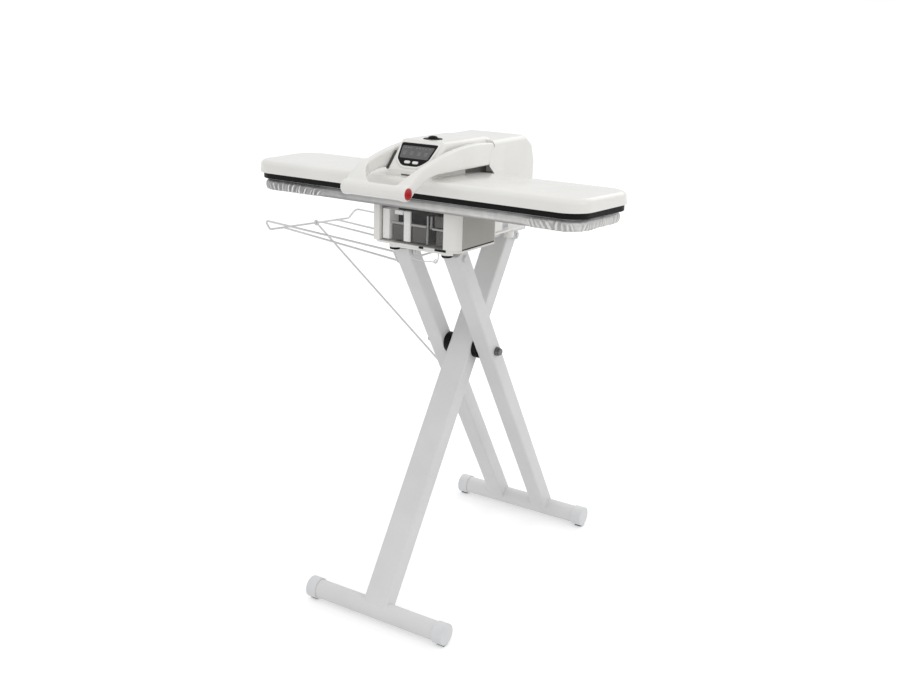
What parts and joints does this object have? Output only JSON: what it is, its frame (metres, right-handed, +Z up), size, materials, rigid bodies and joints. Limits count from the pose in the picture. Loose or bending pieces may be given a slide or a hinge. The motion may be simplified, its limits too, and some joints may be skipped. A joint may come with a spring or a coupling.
{
  "type": "steam ironing press",
  "caption": "Steam ironing press with a long hinged head over a padded board, front handle, water tank and sloping console, on a folding crossed-leg stand with a wire side rack.",
  "frame": {"origin": "on the floor, midway between the front and rear feet, in the middle of the press's length", "axes": "+X along the press to the user's right, +Y away from the user, +Z up"},
  "size_m": [0.8503, 0.673, 1.0148],
  "materials": {
    "stand_paint": "satin powder coat",
    "foot_plastic": "satin",
    "black_rubber": "matte",
    "black_plastic": "satin moulded",
    "steel": "bright zinc",
    "bright_cap": "polished",
    "bronze": "turned",
    "rack_wire": "white coated wire",
    "white_plastic": "glossy moulded",
    "grey_plastic": "satin",
    "smoke_clear": "smoky clear",
    "deck_board": "heat-proof pressed board",
    "pad_cloth": "aluminised cloth over felt",
    "plate_metal": "polished",
    "red_plastic": "glossy",
    "circuit_board": "lacquered",
    "hose_rubber": "matte"
  },
  "bodies": {
    "rear_frame": {"outer_leg_left": "stand_paint", "outer_leg_right": "stand_paint", "rear_foot_tube": "stand_paint", "rear_foot_caps": "foot_plastic", "rear_sole_pads": "black_rubber", "pivot_axle": "steel", "pivot_cap_nuts": "bright_cap", "pivot_spacers": "black_plastic", "platform_hinge_bolts": "stand_paint", "stay_rest": "stand_paint"},
    "front_frame": {"centre_leg": "stand_paint", "front_foot_tube": "stand_paint", "front_foot_caps": "foot_plastic", "front_sole_pads": "black_rubber", "pivot_bush": "black_plastic", "cross_pin": "steel", "cross_rollers": "foot_plastic"},
    "platform": {"rail_left": "stand_paint", "rail_right": "stand_paint", "platform_strips": "stand_paint", "rack_brackets": "stand_paint", "base_tray": "white_plastic", "base_shell": "white_plastic", "side_panels": "grey_plastic", "rear_housing": "white_plastic", "hinge_pedestal": "steel", "hinge_shaft": "steel", "head_springs": "steel", "steam_pump": "white_plastic", "steam_hose": "hose_rubber", "power_board": "circuit_board", "cord_gland": "black_plastic", "press_feet": "black_rubber", "board_deck": "deck_board", "ironing_pad": "pad_cloth"},
    "tank": {"water_tank": "smoke_clear", "tank_lid": "smoke_clear", "filler_cap": "white_plastic", "tank_valve": "white_plastic"},
    "head": {"press_plate": "plate_metal", "heating_element": "steel", "thermostat": "bronze", "head_rim": "black_plastic", "head_cover": "white_plastic", "hood": "white_plastic", "rear_cover": "white_plastic", "lift_arms": "steel", "lift_bushes": "bronze", "console_panel": "black_plastic", "display_lens": "smoke_clear", "control_board": "circuit_board", "steam_bezel": "black_plastic", "handle_pins": "steel"},
    "handle": {"handle": "white_plastic", "handle_end_caps": "red_plastic"},
    "steam_button": {"steam_button": "black_plastic"},
    "console_button_left": {"console_button_left": "white_plastic"},
    "console_button_right": {"console_button_right": "white_plastic"},
    "rack": {"wire_rack": "rack_wire"},
    "stay": {"rack_stay": "rack_wire"}
  },
  "joints": [
    {"name": "stand_fold", "type": "hinge", "parent": "rear_frame", "child": "front_frame", "pos_m": [0, 0.036, 0.529], "axis": [1, 0, 0], "range_deg": [0, 54]},
    {"name": "platform_level", "type": "hinge", "parent": "rear_frame", "child": "platform", "pos_m": [0, -0.09645, 0.77], "axis": [1, 0, 0], "range_deg": [0, 27]},
    {"name": "head_lift", "type": "hinge", "parent": "platform", "child": "head", "pos_m": [0, 0.13815, 0.89207], "axis": [-1, 0, 0], "range_deg": [0, 45]},
    {"name": "handle_lift", "type": "hinge", "parent": "head", "child": "handle", "pos_m": [0, -0.02597, 0.97164], "axis": [-1, 0, 0], "range_deg": [0, 15]},
    {"name": "steam_button_press", "type": "slide", "parent": "head", "child": "steam_button", "axis": [0, -0.0515, -0.9987], "range_m": [0, 0.003], "stiffness_N_per_m": 600},
    {"name": "console_left_press", "type": "slide", "parent": "head", "child": "console_button_left", "axis": [0, 0.701, -0.7132], "range_m": [0, 0.0012], "stiffness_N_per_m": 500},
    {"name": "console_right_press", "type": "slide", "parent": "head", "child": "console_button_right", "axis": [0, 0.701, -0.7132], "range_m": [0, 0.0012], "stiffness_N_per_m": 500},
    {"name": "tank_slide", "type": "slide", "parent": "platform", "child": "tank", "axis": [0, -0.9987, 0.0515], "range_m": [0, 0.12]},
    {"name": "rack_lift", "type": "hinge", "parent": "platform", "child": "rack", "pos_m": [-0.097, -0.09831, 0.73405], "axis": [0, 0.9987, -0.0515], "range_deg": [0, 10]},
    {"name": "stay_swing", "type": "hinge", "parent": "rack", "child": "stay", "pos_m": [-0.43, 0.04884, 0.75252], "axis": [0, 0.9987, -0.0515], "range_deg": [0, 40]}
  ],
  "couplings": [
    {"joint": "platform_level", "follows": "stand_fold", "ratio": 0.5}
  ]
}
